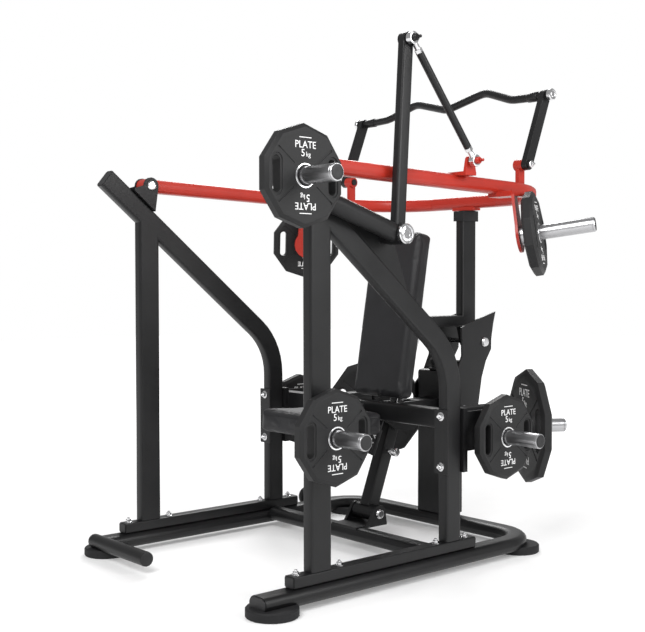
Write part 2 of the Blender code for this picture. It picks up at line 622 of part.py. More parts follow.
def add_horn(arm, sign, name, pivot):
    """Hanging bracket plate on the arm, and the weight horn bolted to it."""
    out = arm_horn_direction(sign)
    start = Vector((sign * ARM_HORN[0], ARM_HORN[1], ARM_HORN[2]))
    up = Vector((0, 0, 1)) - out * out.z
    up.normalize()
    side = out.cross(up)
    outline = arc(0, 0, 0.058, 140, 400, 12) + [(0.036, HANG), (-0.036, HANG)]
    bm = bmesh.new()
    rings = [[bm.verts.new(start + side * u + up * v + out * d) for u, v in outline]
             for d in (-0.010, 0.0)]
    for k in range(len(outline)):
        after = (k + 1) % len(outline)
        bm.faces.new((rings[0][k], rings[0][after], rings[1][after], rings[1][k]))
    bm.faces.new(rings[0])
    bm.faces.new(list(reversed(rings[1])))
    boolean(arm, [bm], "UNION")
    lid = start + up * (HANG - 0.004) - out * 0.005
    low = arm_z(lid.y) - ARM_T / 2
    x0, x1 = sorted((sign * (SIDE - 0.020), lid.x + sign * 0.018))
    boolean(arm, [block(x0, x1, lid.y - 0.032, lid.y + 0.032, low - 0.010, low + 0.008)], "UNION")
    horn = lathe(start + out * GAP, out, horn_profile(0.250, 0.036, 0.0232))
    keep("arm_horn_" + name, [horn], "chrome", True, pivot)


# ---- handle bar ---------------------------------------------------------------------
def build_bar():
    swing = pivot_empty("link_pivot", (0, BAR_Y, BAR_Z))
    rise = Vector((0, BAR_TOP[0] - BAR_Y, BAR_TOP[1] - BAR_Z))
    lean_angle = math.degrees(math.atan2(rise.z, rise.y))
    outline = (arc(BAR_TOP[0], BAR_TOP[1], 0.020, lean_angle - 90, lean_angle + 90, 6)
               + arc(BAR_Y, BAR_Z, 0.020, lean_angle + 90, lean_angle + 270, 6))
    low = ((0.0, 0.013), (0.0048, 0.013), (0.0048, 0.0080), (0.055, 0.0080), (0.055, 0.015),
           (0.068, 0.015), (0.073, 0.010))
    for sign, name in ((1, "left"), (-1, "right")):
        link = keep("bar_link_" + name, [slab(outline, sign * (LINK_X + GAP), sign * (LINK_X + 0.022))],
                    "frame", True, swing)
        boolean(link, [lathe((sign * (LINK_X - 0.0413), BAR_Y, BAR_Z), (sign, 0, 0), low)], "UNION")
        boolean(link, [rod((sign * (LINK_X - 0.01), *BAR_TOP), (sign * (LINK_X + 0.04), *BAR_TOP), 0.0083)])
    turn = pivot_empty("bar_pivot", (0, *BAR_TOP))
    up = rise.normalized()
    camber = ((LINK_X - 0.0005, 0.0), (0.400, 0.0), (0.325, 0.003), (0.195, 0.050), (0.165, 0.050), (0.0, 0.004))
    path = [Vector((x, *BAR_TOP)) + up * rise_by for x, rise_by in camber]
    path += [Vector((-p.x, p.y, p.z)) for p in reversed(path[:-1])]
    side = up.cross(Vector((1, 0, 0)))
    bar = keep("handle_bar", [sweep(path, round_section(0.0150, 12), side)], "frame", True, turn)
    for sign in (1, -1):
        top = ((0.0, 0.0080), (0.0263, 0.0080), (0.0263, 0.017), (0.0310, 0.017), (0.0380, 0.011))
        boolean(bar, [lathe((sign * (LINK_X - 0.0040), *BAR_TOP), (sign, 0, 0), top)], "UNION")


# ---- counter crank and its rod ------------------------------------------------------
def build_crank():
    foot = slant_z(0.10)
    rise = SLANT_D / 2 * math.hypot(1, SLANT_DROP)
    base = [(0.100, foot + rise + GAP * 2), (0.395, slant_z(0.395) + rise + GAP * 2)]
    outline = arc(CRANK_Y, CRANK_Z, 0.032, 20, 130, 5) + base
    bracket = keep("crank_bracket", [slab(outline, 0.4600, 0.4720)], "frame", True)
    boss = rod((0.4480, CRANK_Y, CRANK_Z), (0.4985, CRANK_Y, CRANK_Z), 0.030, 20)
    boolean(bracket, [boss], "UNION")
    boolean(bracket, [rod((0.43, CRANK_Y, CRANK_Z), (0.52, CRANK_Y, CRANK_Z), 0.0125 + GAP)])
    pivot = pivot_empty("crank_pivot", (CRANK_X, CRANK_Y, CRANK_Z))
    sleeve = rod((0.4990, CRANK_Y, CRANK_Z), (0.5610, CRANK_Y, CRANK_Z), 0.033, 24)
    crank = keep("crank", [sleeve], "frame", True, pivot)
    start = Vector((CRANK_X, CRANK_Y, CRANK_Z))
    end = Vector((CRANK_X, *CRANK_HORN))
    along = (end - start).normalized()
    boolean(crank, [rod(start, end + along * 0.034, 0.0300, 20)], "UNION")
    add_lever(crank, start)
    boolean(crank, [rod((0.48, CRANK_Y, CRANK_Z), (0.58, CRANK_Y, CRANK_Z), 0.0125 + GAP)])
    horn = lathe((CRANK_X + 0.0300 + GAP, *CRANK_HORN), (1, 0, 0), horn_profile(0.212, 0.034, 0.0382))
    keep("crank_horn", [horn], "chrome", True, pivot)


def add_lever(crank, start):
    """Upright of the crank, with a stub at its top for the upper rod end."""
    top = Vector((CRANK_X, *LEVER_TOP))
    boolean(crank, [sweep((start, top), rounded_section(0.030, 0.044, 0.007, 2), (1, 0, 0))], "UNION")
    head = rod((CRANK_X - 0.0150, *LEVER_TOP), (CRANK_X + 0.0150, *LEVER_TOP), 0.0222, 20)
    stub = ((0.0, 0.008), (0.0180, 0.008), (0.0180, 0.0072), (0.040, 0.0072), (0.042, 0.0050))
    boolean(crank, [head], "UNION")
    boolean(crank, [lathe((CRANK_X + 0.0120, *LEVER_TOP), (1, 0, 0), stub)], "UNION")


def build_rod():
    low = Vector((ROD_X, TAB_Y, TAB_Z))
    high = Vector((ROD_X, *LEVER_TOP))
    pivot = pivot_empty("rod_pivot", high)
    along = (high - low).normalized()
    link = keep("link_rod", [rod(low + along * 0.060, high - along * 0.060, 0.0125, 12)],
                "frame", True, pivot)
    bolt = lathe(low + Vector((0.008, 0, 0)), (1, 0, 0), ((0.0, 0.013), (0.007, 0.013), (0.010, 0.009)), 12)
    for centre, way in ((low, along), (high, -along)):
        side = Vector((0.009, 0, 0))
        shank = ((0.0, 0.008), (0.030, 0.008), (0.030, 0.0115), (0.052, 0.0115))
        boolean(link, [lathe(centre + way * 0.012, way, shank, 12)], "UNION")
        boolean(link, [rod(centre - side, centre + side, 0.019, 20)], "UNION")
    boolean(link, [bolt], "UNION")
    boolean(link, [rod(high - side * 3, high + side * 3, 0.0084, 16)])


# ---- weight plates ------------------------------------------------------------------
def plate_solid(radius, thick):
    """Ten-sided plate about +X with chamfered rims, lying between x = 0 and x = thick."""
    turns = [math.radians(90 + 36 * k) for k in range(10)]
    bm = bmesh.new()
    rings = []
    for x, reach in ((0.0, 0.93), (thick * 0.2, 1.0), (thick * 0.8, 1.0), (thick, 0.93)):
        rings.append([bm.verts.new((x, radius * reach * math.cos(t), radius * reach * math.sin(t)))
                      for t in turns])
    for one, two in zip(rings, rings[1:]):
        for k in range(10):
            bm.faces.new((one[k], one[(k + 1) % 10], two[(k + 1) % 10], two[k]))
    bm.faces.new(rings[0])
    bm.faces.new(list(reversed(rings[-1])))
    return bm


def grip_cutter(radius, thick, way):
    """Long hand hole through one side of the plate."""
    far = radius * 0.78
    near = radius * 0.60
    half = radius * 0.26
    outline = [(way * y, z) for y, z in arc((near + far) / 2, half, (far - near) / 2, 0, 180, 4)
               + arc((near + far) / 2, -half, (far - near) / 2, 180, 360, 4)]
    return slab(outline, -0.01, thick + 0.01)


def add_plate(name, start, direction, radius, thick):
    """Plate whose inner face touches start and whose bore follows direction."""
    out = Vector(direction).normalized()
    up = Vector((0, 0, 1)) - out * out.z
    up.normalize()
    side = up.cross(out)
    turn = Matrix((out, side, up)).transposed().to_4x4()
    place = Matrix.Translation(Vector(start)) @ turn
    solids = [plate_solid(radius, thick), rod((-0.01, 0, 0), (thick + 0.01, 0, 0), BORE_R, 24)]
    solids += [grip_cutter(radius, thick, way) for way in (1, -1)]
    for bm in solids:
        bm.transform(place)
    plate = keep(name, [solids[0]], "rubber", False, pivot_empty(name + "_axis", start))
    for cutter in solids[1:]:
        boolean(plate, [cutter])


def build_plates():
    left, right = (1, 0, 0), (-1, 0, 0)
    add_plate("plate_front_store", (0.5400, *FRONT_STORE), left, PLATE_R, PLATE_T)
    add_plate("plate_crank", (0.6000, *CRANK_HORN), left, PLATE_R, PLATE_T)
    add_plate("plate_store_left", (0.5300, *SMALL_STORE), left, PLATE_R, PLATE_T)
    add_plate("plate_store_right", (-0.5300, *SMALL_STORE), right, PLATE_R, PLATE_T)
    for sign, name in ((1, "left"), (-1, "right")):
        base = Vector((sign * LARGE_BASE[0], LARGE_BASE[1], LARGE_BASE[2]))
        out = large_direction(sign)
        add_plate("plate_large_" + name, base + out * 0.1000, out, LARGE_R, LARGE_T)
        out = arm_horn_direction(sign)
        start = Vector((sign * ARM_HORN[0], ARM_HORN[1], ARM_HORN[2]))
        add_plate("plate_arm_" + name, start + out * 0.0250, out, PLATE_R, PLATE_T)


def place_origin():
    """Put the origin on the floor, under the middle of the whole machine."""
    shift = Matrix.Translation((0.0, -ORIGIN_Y, 0.0))
    for obj in bpy.data.objects:
        if obj.parent is None:
            obj.matrix_world = shift @ obj.matrix_world


def main():
    for obj in list(bpy.data.objects):
        bpy.data.objects.remove(obj, do_unlink=True)
    build_base()
    build_side(1, "left")
    build_side(-1, "right")
    build_clevises()
    build_feet()
    build_pins()
    build_cross_beam()
    build_column()
    build_storage()
    build_seat()
    build_backrest()
    build_strut()
    build_arm()
    build_bar()
    build_crank()
    build_rod()
    build_plates()
    place_origin()


main()
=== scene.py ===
"""Looks of the plate-loaded chest press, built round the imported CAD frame.

Metres, in the row's frame: +X to the user's left, +Y to the rear, +Z up.
A profile is a run of (distance along the axis, radius) pairs.
"""
import json
import math

import bmesh
import bpy
from mathutils import Matrix, Vector
from mathutils.bvhtree import BVHTree


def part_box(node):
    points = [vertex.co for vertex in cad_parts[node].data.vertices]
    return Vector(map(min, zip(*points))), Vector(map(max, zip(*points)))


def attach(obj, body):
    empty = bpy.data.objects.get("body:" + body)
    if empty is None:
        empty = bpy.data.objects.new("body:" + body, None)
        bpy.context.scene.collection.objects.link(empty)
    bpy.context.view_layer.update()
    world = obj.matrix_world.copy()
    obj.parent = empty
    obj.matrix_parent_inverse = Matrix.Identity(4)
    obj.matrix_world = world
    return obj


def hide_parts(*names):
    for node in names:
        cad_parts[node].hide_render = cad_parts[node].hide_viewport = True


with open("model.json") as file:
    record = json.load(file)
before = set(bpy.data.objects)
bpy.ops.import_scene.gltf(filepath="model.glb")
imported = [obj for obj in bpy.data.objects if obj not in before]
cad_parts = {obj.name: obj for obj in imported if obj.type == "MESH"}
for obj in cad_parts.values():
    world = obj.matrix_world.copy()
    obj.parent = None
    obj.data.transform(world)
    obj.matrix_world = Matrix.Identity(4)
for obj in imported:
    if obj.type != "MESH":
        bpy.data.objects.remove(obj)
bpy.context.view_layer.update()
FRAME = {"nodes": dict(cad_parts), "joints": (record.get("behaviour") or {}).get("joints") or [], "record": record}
NODES = FRAME["nodes"]
JOINTS = {joint["child"]: joint for joint in FRAME["joints"]}
UP, LEFT = Vector((0, 0, 1)), Vector((1, 0, 0))
HANDS = (("left", 1), ("right", -1))    # each side of the machine, and the sign of x there

# ---- sizes --------------------------------------------------------------------------
FRONT = 0.47705                         # the front posts stand this far in front of the origin
POST_X = 0.476                          # posts and side beams stand this far to either side
SLANT = 0.82                            # a slanted post falls this much in a metre to the rear
SLANT_Y, SLANT_Z = 0.316, 0.937         # a point on its middle line, from the front posts
LINK_LOW, LINK_TOP = (0.980, 1.385), (1.080, 1.640)     # y and z of a bar link's two ends
ROD_TOP, ROD_LOW = (0.557, 0.320, 1.724), (0.557, 0.612, 1.366)
SMALL_R, LARGE_R, PLATE_T = 0.145, 0.210, 0.040
PLATE_SIDES = 10
PLATE_BORE_R = 0.0352                   # room in the rubber for the bush
STEP = 0.0012                           # depth of the step round a plate's face
GROOVE_DEPTH, POCKET_DEPTH, POCKET_RIM = 0.0030, 0.0040, 0.0065
PRINT_HALF = 0.0008                     # half of the print's depth
SLEEVE_R = 0.025
ROUND_TURN, SHARP_TURN = math.radians(32), math.radians(35)
WELD_REACH = 0.00002
CUSHION_VOXEL, CUSHION_RISE = 0.0055, 0.006
CUSHION_FRAMES = 20
SEAM_R, SEAM_STEP = 0.0011, 0.008

# ---- light and floor ----------------------------------------------------------------
SKY_LIGHT, SKY_SEEN = 0.42, 1.0         # the world's strength as a light, and as the camera sees it
FLOOR_FADE = (1.4, 4.6, 0.18, 0.80)     # metres from the machine, and the floor's own glow there: painted light, dim near the machine as a painted soft shade round it
FLOOR_HALF, FLOOR_DROP = 14.0, 0.0005
LAMPS = (("key", (1.6, -3.2, 3.6), 0.7, (2.4, 2.4), 170),
         ("side", (4.2, 1.4, 2.6), 0.9, (1.8, 2.6), 110),
         ("rim", (-2.8, 2.6, 3.4), 0.9, (2.2, 2.2), 120))   # place, height aimed at, size, watts

BUSH = ((0.0003, 0.0306), (0.0003, 0.0340), (0.0012, 0.0350),
        (PLATE_T - 0.0012, 0.0350), (PLATE_T - 0.0003, 0.0340), (PLATE_T - 0.0003, 0.0306))
LINER = ((0.0020, 0.0258), (0.0020, 0.0307), (PLATE_T - 0.0020, 0.0307), (PLATE_T - 0.0020, 0.0258))


def at(x, y, z):
    """Place given from the front posts, as the CAD source gives it, in the row's frame."""
    return Vector((x, y - FRONT, z))


def slant_height(y):
    """Height of a slanted post's middle line at y from the front posts."""
    return SLANT_Z - SLANT * (y - SLANT_Y)


# ---- materials ----------------------------------------------------------------------
def surface(name, color, rough, metal=0.0, coat=0.0, spread=0.25, patch=9.0, grain=None):
    """Principled finish with patchy colour and roughness, and a fine bump.

    spread is how far colour and gloss wander; grain is (scale, height in metres, cells or not).
    """
    made = bpy.data.materials.new(name)
    made.use_nodes = True
    tree = made.node_tree
    shader = tree.nodes["Principled BSDF"]
    shader.inputs["Metallic"].default_value = metal
    shader.inputs["Coat Weight"].default_value = coat
    shader.inputs["Coat Roughness"].default_value = 0.18
    shader.inputs["Specular IOR Level"].default_value = 0.33
    place = tree.nodes.new("ShaderNodeTexCoord")
    noise = tree.nodes.new("ShaderNodeTexNoise")
    noise.inputs["Scale"].default_value = patch
    noise.inputs["Detail"].default_value = 6.0
    tree.links.new(place.outputs["Object"], noise.inputs["Vector"])
    ramp = tree.nodes.new("ShaderNodeValToRGB")
    low, high = ramp.color_ramp.elements
    low.position, high.position = 0.30, 0.72
    low.color = (*[c * (1 - spread) for c in color], 1.0)
    high.color = (*[min(1.0, c * (1 + spread)) for c in color], 1.0)
    tree.links.new(noise.outputs["Fac"], ramp.inputs["Fac"])
    tree.links.new(ramp.outputs["Color"], shader.inputs["Base Color"])
    gloss = tree.nodes.new("ShaderNodeMapRange")
    gloss.inputs["To Min"].default_value = rough * (1 - spread * 0.5)
    gloss.inputs["To Max"].default_value = rough * (1 + spread * 0.5)
    tree.links.new(noise.outputs["Fac"], gloss.inputs["Value"])
    tree.links.new(gloss.outputs["Result"], shader.inputs["Roughness"])
    if grain:
        add_grain(tree, place, shader, *grain)
    return made


def add_grain(tree, place, shader, scale, height, cells=False):
    """Bump from fine noise, or from small cells for a leather grain."""
    fine = tree.nodes.new("ShaderNodeTexVoronoi" if cells else "ShaderNodeTexNoise")
    fine.inputs["Scale"].default_value = scale
    tree.links.new(place.outputs["Object"], fine.inputs["Vector"])
    bump = tree.nodes.new("ShaderNodeBump")
    bump.inputs["Strength"].default_value = 0.35
    bump.inputs["Distance"].default_value = height
    tree.links.new(fine.outputs["Distance" if cells else "Fac"], bump.inputs["Height"])
    tree.links.new(bump.outputs["Normal"], shader.inputs["Normal"])


LOOKS = {
    "black_paint": surface("black_powder_coat", (0.0065, 0.0065, 0.007), 0.38, grain=(900, 0.0003)),
    "red_paint": surface("red_powder_coat", (0.40, 0.022, 0.011), 0.38, coat=0.1, spread=0.08,
                         grain=(700, 0.0002)),
    "chrome": surface("chrome_plate", (0.70, 0.70, 0.71), 0.16, metal=1.0, spread=0.03, patch=5),
    "steel_sleeve": surface("turned_steel", (0.46, 0.46, 0.47), 0.28, metal=1.0, spread=0.05, patch=6,
                            grain=(700, 0.00004)),
    "rubber": surface("moulded_rubber", (0.011, 0.011, 0.012), 0.72, grain=(1100, 0.0004)),
    "plate_rubber": surface("plate_rubber", (0.0095, 0.0095, 0.010), 0.52, grain=(1400, 0.0004)),
    "vinyl": surface("charcoal_vinyl", (0.015, 0.015, 0.0165), 0.46, spread=0.12, patch=14,
                     grain=(620, 0.0006, True)),
}
WHITE = surface("white_print", (0.80, 0.80, 0.80), 0.55, spread=0.04, grain=(900, 0.0001))
DARK_CAP = surface("dark_plastic", (0.020, 0.020, 0.021), 0.48, grain=(900, 0.0003))
THREAD = surface("seam_thread", (0.008, 0.008, 0.009), 0.60, grain=(2500, 0.0004))


# ---- mesh tools ---------------------------------------------------------------------
def linked(name, data):
    """Object in the scene from a mesh, a curve, a lamp or a camera."""
    obj = bpy.data.objects.new(name, data)
    bpy.context.scene.collection.objects.link(obj)
    return obj


def mesh_from(name, bm):
    mesh = bpy.data.meshes.new(name)
    bm.to_mesh(mesh)
    bm.free()
    return mesh


def piece(name, bm, finish, body, edge=0.0):
    """Object from a bmesh, riding on a CAD body.

    finish is the name of a slot, or a material that has none; edge is the width of its rounded edges.
    """
    slot = finish if isinstance(finish, str) else None
    bmesh.ops.recalc_face_normals(bm, faces=bm.faces)
    mesh = mesh_from(name, bm)
    mesh.materials.append(LOOKS[slot] if slot else finish)
    obj = linked(name, mesh)
    mesh.shade_smooth()
    mesh.set_sharp_from_angle(angle=SHARP_TURN)
    if edge:
        soften(obj, edge)
    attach(obj, body)
    return obj


def soften(obj, width):
    rounding = obj.modifiers.new("rounding", "BEVEL")
    rounding.width = width
    rounding.segments = 2
    rounding.limit_method = "ANGLE"
    rounding.angle_limit = ROUND_TURN
    shade = obj.modifiers.new("shade", "WEIGHTED_NORMAL")
    shade.weight = 60
    shade.keep_sharp = False


def weld_points(obj):
    weld = obj.modifiers.new("weld", "WELD")
    weld.merge_threshold = WELD_REACH


def drop_custom_normals(mesh):
    custom = mesh.attributes.get("custom_normal")
    if custom:
        mesh.attributes.remove(custom)


def basis(axis):
    """Two directions square to an axis."""
    axis = Vector(axis).normalized()
    first = (UP - axis * axis.z) if abs(axis.z) < 0.9 else LEFT
    first = (first - axis * first.dot(axis)).normalized()
    return first, axis.cross(first)


def ring(bm, centre, first, second, radius, steps):
    turns = [2 * math.pi * k / steps for k in range(steps)]
    return [bm.verts.new(centre + (first * math.cos(t) + second * math.sin(t)) * radius) for t in turns]


def skin(bm, rows, loop=False):
    """Faces from each row of points to the next; the ends are closed, or with loop joined."""
    count = len(rows[0])
    pairs = list(zip(rows, rows[1:]))
    if loop:
        pairs.append((rows[-1], rows[0]))
    for one, two in pairs:
        for k in range(count):
            bm.faces.new((one[k], one[(k + 1) % count], two[(k + 1) % count], two[k]))
    if not loop:
        bm.faces.new(rows[0])
        bm.faces.new(list(reversed(rows[-1])))
    return bm


def turned(start, axis, profile, steps=40, closed=False):
    """Turned solid from a profile; closed makes a ring with a hole."""
    axis = Vector(axis).normalized()
    first, second = basis(axis)
    bm = bmesh.new()
    rows = [ring(bm, Vector(start) + axis * along, first, second, radius, steps)
            for along, radius in profile]
    return skin(bm, rows, closed)


def extruded(outline, start, across, up, thick):
    """Plate from an outline of (across, up) pairs, raised by thick along across x up."""
    across, up = Vector(across), Vector(up)
    out = across.cross(up).normalized()
    bm = bmesh.new()
    low = [bm.verts.new(Vector(start) + across * u + up * v) for u, v in outline]
    high = [bm.verts.new(v.co + out * thick) for v in low]
    return skin(bm, [low, high])


def pill(width, height, radius, steps=6):
    """Outline of a rounded rectangle."""
    points = []
    for sx, sy, start in ((1, 1, 0), (-1, 1, 90), (-1, -1, 180), (1, -1, 270)):
        for k in range(steps + 1):
            angle = math.radians(start + 90 * k / steps)
            points.append((sx * (width / 2 - radius) + radius * math.cos(angle),
                           sy * (height / 2 - radius) + radius * math.sin(angle)))
    return points


def tube_through(points, radius, steps=10, loop=False):
    """Tube along a list of points."""
    points = [Vector(p) for p in points]
    count = len(points)
    bm = bmesh.new()
    rows = []
    first = None
    for i, point in enumerate(points):
        before = points[i - 1] if i or loop else point
        after = points[(i + 1) % count] if i < count - 1 or loop else point
        along = (after - before).normalized()
        if first is None:
            first = basis(along)[0]
        first = (first - along * first.dot(along)).normalized()
        rows.append(ring(bm, point, first, along.cross(first), radius, steps))
    return skin(bm, rows, loop)


def shown_mesh(obj):
    """Mesh of an object with its modifiers applied."""
    shown = obj.evaluated_get(bpy.context.evaluated_depsgraph_get())
    return bpy.data.meshes.new_from_object(shown)


def baked_mesh(obj):
    """The same, and the object is removed."""
    mesh = shown_mesh(obj)
    bpy.data.objects.remove(obj)
    return mesh


def bake_in_place(obj):
    """The same, and the object keeps it in place of its modifiers."""
    bpy.context.view_layer.update()
    mesh = shown_mesh(obj)
    obj.modifiers.clear()
    obj.data = mesh


def middle(node):
    low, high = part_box(node)
    return (low + high) / 2


# ---- CAD nodes that stay ------------------------------------------------------------
def dress_cad(edge=0.0012):
    """Give every CAD node its finish and small rounded edges."""
    slots = {row["node"]: row["material_slot"] for row in FRAME["record"]["subparts"]}
    for name, obj in NODES.items():
        obj.data.materials.clear()
        obj.data.materials.append(LOOKS[slots[name]])
        drop_custom_normals(obj.data)
        obj.data.shade_smooth()
        weld_points(obj)
        soften(obj, edge)


# ---- fasteners ----------------------------------------------------------------------
def bolt(name, place, axis, body, size=0.0102):
    """Hexagon head on a washer, with its screw's tip, along axis; size is the head's radius."""
    place, axis = Vector(place), Vector(axis).normalized()
    washer = ((0.0, size * 1.45), (size * 0.20, size * 1.45), (size * 0.28, size * 1.32))
    piece(name + "_washer", turned(place, axis, washer, 28), "chrome", body)
    head = ((0.0, size), (size * 0.62, size), (size * 0.86, size * 0.80))
    piece(name + "_head", turned(place + axis * size * 0.28, axis, head, 6), "chrome", body, size * 0.06)
    tip = ((0.0, size * 0.52), (size * 0.42, size * 0.52), (size * 0.58, size * 0.38))
    piece(name + "_tip", turned(place + axis * size * 1.12, axis, tip, 20), "chrome", body)


def frame_bolts():
    """Bolts of the clamps, carriers, side beams and gussets, the crank bracket's studs, and column plugs."""
    clamp_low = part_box("clamp_plate_left")[0]
    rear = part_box("cross_beam")
    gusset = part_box("rear_gussets")[1].x
    for side, sign in HANDS:
        x = sign * middle("clamp_plate_left").x
        for k, z in enumerate((0.3535, 0.5217)):
            bolt(f"clamp_bolt_{side}_{k}", (x, clamp_low.y, z), (0, -1, 0), "root")
            bolt(f"carrier_bolt_{side}_{k}", at(sign * rear[1].x, 0.710, 0.43 + 0.07 * k),
                 (sign, 0, 0), "root", 0.0065)
        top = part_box("side_beam_" + side)[1].z
        for k, y in enumerate((-0.085, 0.087, 0.515, 0.655)):
            bolt(f"beam_bolt_{side}_{k}", at(x, y, top), UP, "root", 0.0098)
        for k, (y, z) in enumerate(((1.012, 0.475), (1.012, 0.560), (1.085, 0.475))):
            bolt(f"gusset_bolt_{side}_{k}", at(sign * gusset, y, z), (sign, 0, 0), "root", 0.0075)
    for k, y in enumerate((0.125, 0.260)):
        stud = at(POST_X - 0.0215, y, slant_height(y) - 0.012)
        thread = ((0.0, 0.0055), (0.029, 0.0055), (0.031, 0.0040))
        piece(f"crank_stud_{k}", turned(stud, (-1, 0, 0), thread, 20), "chrome", "root")
        bolt(f"crank_bolt_{k}", stud, (-1, 0, 0), "root", 0.0110)
    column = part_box("rear_column")
    plug = ((0.0, 0.0062), (0.0045, 0.0062), (0.0045, 0.0048), (0.0030, 0.0048))
    for side, sign in HANDS:
        for k, z in enumerate((0.30, 0.36)):
            start = (sign * (column[1].x - 0.004), middle("rear_column").y, z)
            piece(f"column_plug_{side}_{k}", turned(start, (sign, 0, 0), plug, 20), DARK_CAP, "root")


def cap_rings():
    """Bright bearing caps on the crank pin, the arm pins and the handle bar's ends, and the links' bolts."""
    pin_end = Vector((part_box("crank_pin")[1].x, *middle("crank_pin").yz))
    ridges = ((-0.0132, 0.0300), (-0.0125, 0.0318), (-0.0030, 0.0318), (0.0004, 0.0290),
              (0.0004, 0.0245), (-0.0022, 0.0232), (-0.0022, 0.0170), (0.0008, 0.0155),
              (0.0008, 0.0105), (-0.0012, 0.0095), (-0.0012, 0.0020))
    piece("crank_cap", turned(pin_end, LEFT, ridges, 56), "chrome", "root")
    small = ((-0.003, 0.0165), (0.0015, 0.0165), (0.0035, 0.0140), (0.0035, 0.0085), (-0.003, 0.0085))
    disc = ((0.0, 0.0200), (0.0012, 0.0212), (0.0125, 0.0212), (0.0158, 0.0180), (0.0158, 0.0150),
            (0.0142, 0.0140), (0.0142, 0.0085), (0.0160, 0.0075), (0.0160, 0.0020))
    for side, sign in HANDS:
        outer = 1 if sign > 0 else 0
        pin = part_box("arm_pin_" + side)
        spot = middle("arm_pin_" + side)
        start = (pin[outer].x, spot.y, spot.z)
        piece("arm_cap_" + side, turned(start, (sign, 0, 0), small, 32, True), "chrome", "root")
        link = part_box("bar_link_" + side)
        outside = link[outer].x
        start = at(outside + sign * 0.0004, *LINK_TOP)
        piece("bar_cap_" + side, turned(start, (sign, 0, 0), disc, 44), "chrome", "handle")
        bolt("link_bolt_" + side, at(outside, *LINK_LOW), (sign, 0, 0), "handle", 0.0085)


def end_caps():
    """Plastic plugs in the open ends of the base tube, foot bar, side beams and slanted posts."""
    rail_end = at(POST_X, -0.2252, 0.040)
    piece("rail_plug_left", extruded(pill(0.074, 0.044, 0.020), rail_end, LEFT, UP, 0.004), DARK_CAP,
          "root", 0.001)
    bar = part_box("front_foot_bar")
    spot = middle("front_foot_bar")
    cap = ((0.0, 0.0235), (0.0030, 0.0235), (0.0050, 0.0200))
    for side, x, way in (("inner", bar[1].x, 1), ("outer", bar[0].x, -1)):
        piece("foot_bar_plug_" + side, turned((x, spot.y, spot.z), (way, 0, 0), cap), DARK_CAP, "root")
    for side, sign in HANDS:
        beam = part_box("side_beam_" + side)
        z = (beam[0].z + beam[1].z) / 2
        outline = pill(0.040, 0.031, 0.005, 3)
        for end, y, way in (("front", beam[0].y, 1), ("rear", beam[1].y, -1)):
            plug = extruded(outline, (sign * POST_X, y, z), (way, 0, 0), UP, 0.003)
            piece(f"beam_plug_{side}_{end}", plug, DARK_CAP, "root", 0.0008)
        slope = Vector((0, -1, SLANT)).normalized()
        down = LEFT.cross(slope) * (-1)
        end = at(sign * POST_X, -0.170, slant_height(-0.170))
        piece("slant_plug_" + side, extruded(pill(0.038, 0.067, 0.008, 4), end, LEFT, down, 0.003),
              DARK_CAP, "root", 0.001)


def transport_wheel():
    """Small wheel outside the right rail."""
    hub = at(-0.5175, 0.800, 0.0760)
    tyre = ((0.0, 0.024), (0.0, 0.0320), (0.003, 0.0360), (0.019, 0.0360), (0.022, 0.0320),
            (0.022, 0.024))
    piece("wheel_tyre", turned(hub, (-1, 0, 0), tyre, 40, True), "rubber", "root")
    core = ((-0.001, 0.0245), (0.018, 0.0245), (0.020, 0.0150), (0.020, 0.0100), (0.025, 0.0085))
    piece("wheel_core", turned(hub, (-1, 0, 0), core, 32), DARK_CAP, "root")
    fork = ((-0.020, -0.036), (0.020, -0.036), (0.016, 0.010), (0.008, 0.017), (-0.008, 0.017),
            (-0.016, 0.010))
    bracket = extruded(fork, hub + Vector((0.0062, 0, 0)), (0, 1, 0), UP, -0.005)
    piece("wheel_bracket", bracket, "black_paint", "root", 0.0008)


# ---- weight horns -------------------------------------------------------------------
HORNS = {
    "front_horn": ("plate_front_store", "root"), "crank_horn": ("plate_crank", "crank"),
    "small_horn_left": ("plate_store_left", "root"), "small_horn_right": ("plate_store_right", "root"),
    "large_horn_left": ("plate_large_left", "root"), "large_horn_right": ("plate_large_right", "root"),
    "arm_horn_left": ("plate_arm_left", "press_arm"), "arm_horn_right": ("plate_arm_right", "press_arm"),
}


def axis_of(plate):
    return Vector(JOINTS[plate]["axis"]).normalized()


def build_horns():
    """Steel sleeves with a collar and a groove near the tip, measured from the CAD horns they replace."""
    for name, (plate, body) in HORNS.items():
        axis, centre = axis_of(plate), middle(plate)
        spans = []
        for vertex in NODES[name].data.vertices:
            offset = vertex.co - centre
            along = offset.dot(axis)
            spans.append((along, (offset - axis * along).length))
        low, high = min(s[0] for s in spans), max(s[0] for s in spans)
        collar = max(s[0] for s in spans if s[1] > 0.030)
        start = centre + axis * low
        length, lip = high - low, collar - low
        profile = ((0.0, 0.033), (0.001, 0.034), (lip - 0.002, 0.034), (lip, 0.0320), (lip, 0.0262),
                   (lip + 0.0012, SLEEVE_R), (length - 0.010, SLEEVE_R), (length - 0.0092, 0.0243),
                   (length - 0.0084, SLEEVE_R), (length - 0.0035, SLEEVE_R), (length - 0.0010, 0.0228))
        horn = piece(name + "_sleeve", turned(start, axis, profile, 56), "steel_sleeve", body)
        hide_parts(name)
        cap = ((0.0, 0.0215), (0.0010, 0.0215), (0.0018, 0.0200), (0.0012, 0.0120), (0.0016, 0.0060),
               (0.0010, 0.0020))
        tip = start + axis * (length - 0.0012)
        piece(name + "_cap", turned(tip, axis, cap, 48), DARK_CAP, body)


